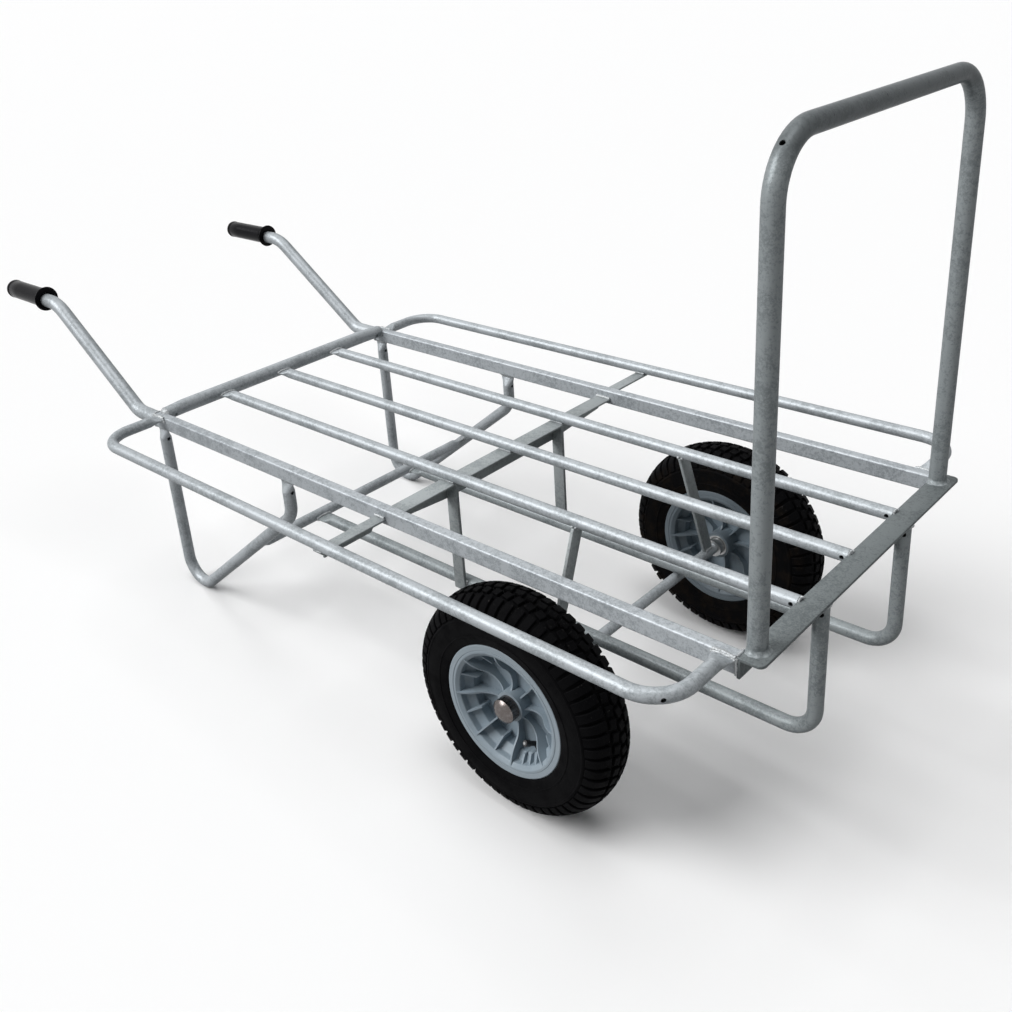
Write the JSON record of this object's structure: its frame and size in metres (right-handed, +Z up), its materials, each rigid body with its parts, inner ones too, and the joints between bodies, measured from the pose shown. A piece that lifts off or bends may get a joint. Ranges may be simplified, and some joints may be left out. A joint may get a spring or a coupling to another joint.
{
  "type": "glass cart",
  "caption": "Flat two-wheeled hand cart of galvanised tube with a slatted bed, side wing rails, rear legs and handles, and a tall front hoop for sheets of glass or board.",
  "frame": {"origin": "on the ground under the middle of the cart's outline", "axes": "+X forwards from the handles to the hoop, +Y to the cart's left, +Z up"},
  "size_m": [2.0061, 0.93, 1.1561],
  "materials": {
    "galvanised_steel": "hot-dip galvanised, mottled satin zinc",
    "grip_rubber": "matt moulded",
    "axle_steel": "bright zinc plated",
    "cap_chrome": "bright plated",
    "tyre_rubber": "matt black, block tread",
    "tube_rubber": "smooth butyl",
    "rim_plastic": "satin moulded, pale blue-grey",
    "valve_rubber": "matt moulded"
  },
  "bodies": {
    "frame": {"rail_right": "galvanised_steel", "rail_left": "galvanised_steel", "handle_right": "galvanised_steel", "handle_left": "galvanised_steel", "grip_right": "grip_rubber", "grip_left": "grip_rubber", "rear_cross_tube": "galvanised_steel", "slat_right": "galvanised_steel", "slat_middle": "galvanised_steel", "slat_left": "galvanised_steel", "front_angle": "galvanised_steel", "mid_angle": "galvanised_steel", "wing_support_right": "galvanised_steel", "wing_support_left": "galvanised_steel", "wing_rail_right": "galvanised_steel", "wing_rail_left": "galvanised_steel", "leg_right": "galvanised_steel", "leg_left": "galvanised_steel", "leg_brace": "galvanised_steel", "lower_tube_right": "galvanised_steel", "lower_tube_left": "galvanised_steel", "post_right": "galvanised_steel", "post_left": "galvanised_steel", "axle_strut_right": "galvanised_steel", "axle_strut_left": "galvanised_steel", "hoop": "galvanised_steel", "axle": "axle_steel", "axle_collars": "axle_steel", "axle_washers": "axle_steel", "axle_cap_right": "cap_chrome", "axle_cap_left": "cap_chrome"},
    "wheel_right": {"tyre_right": "tyre_rubber", "inner_tube_right": "tube_rubber", "rim_right": "rim_plastic", "hub_bearings_right": "axle_steel", "hub_spacer_right": "axle_steel", "valve_stem_right": "valve_rubber", "valve_cap_right": "valve_rubber"},
    "wheel_left": {"tyre_left": "tyre_rubber", "inner_tube_left": "tube_rubber", "rim_left": "rim_plastic", "hub_bearings_left": "axle_steel", "hub_spacer_left": "axle_steel", "valve_stem_left": "valve_rubber", "valve_cap_left": "valve_rubber"}
  },
  "joints": [
    {"name": "wheel_right_spin", "type": "hinge", "parent": "frame", "child": "wheel_right", "pos_m": [0.57767, -0.315, 0.2], "axis": [0, 1, 0], "continuous": true},
    {"name": "wheel_left_spin", "type": "hinge", "parent": "frame", "child": "wheel_left", "pos_m": [0.57767, 0.315, 0.2], "axis": [0, 1, 0], "continuous": true}
  ]
}
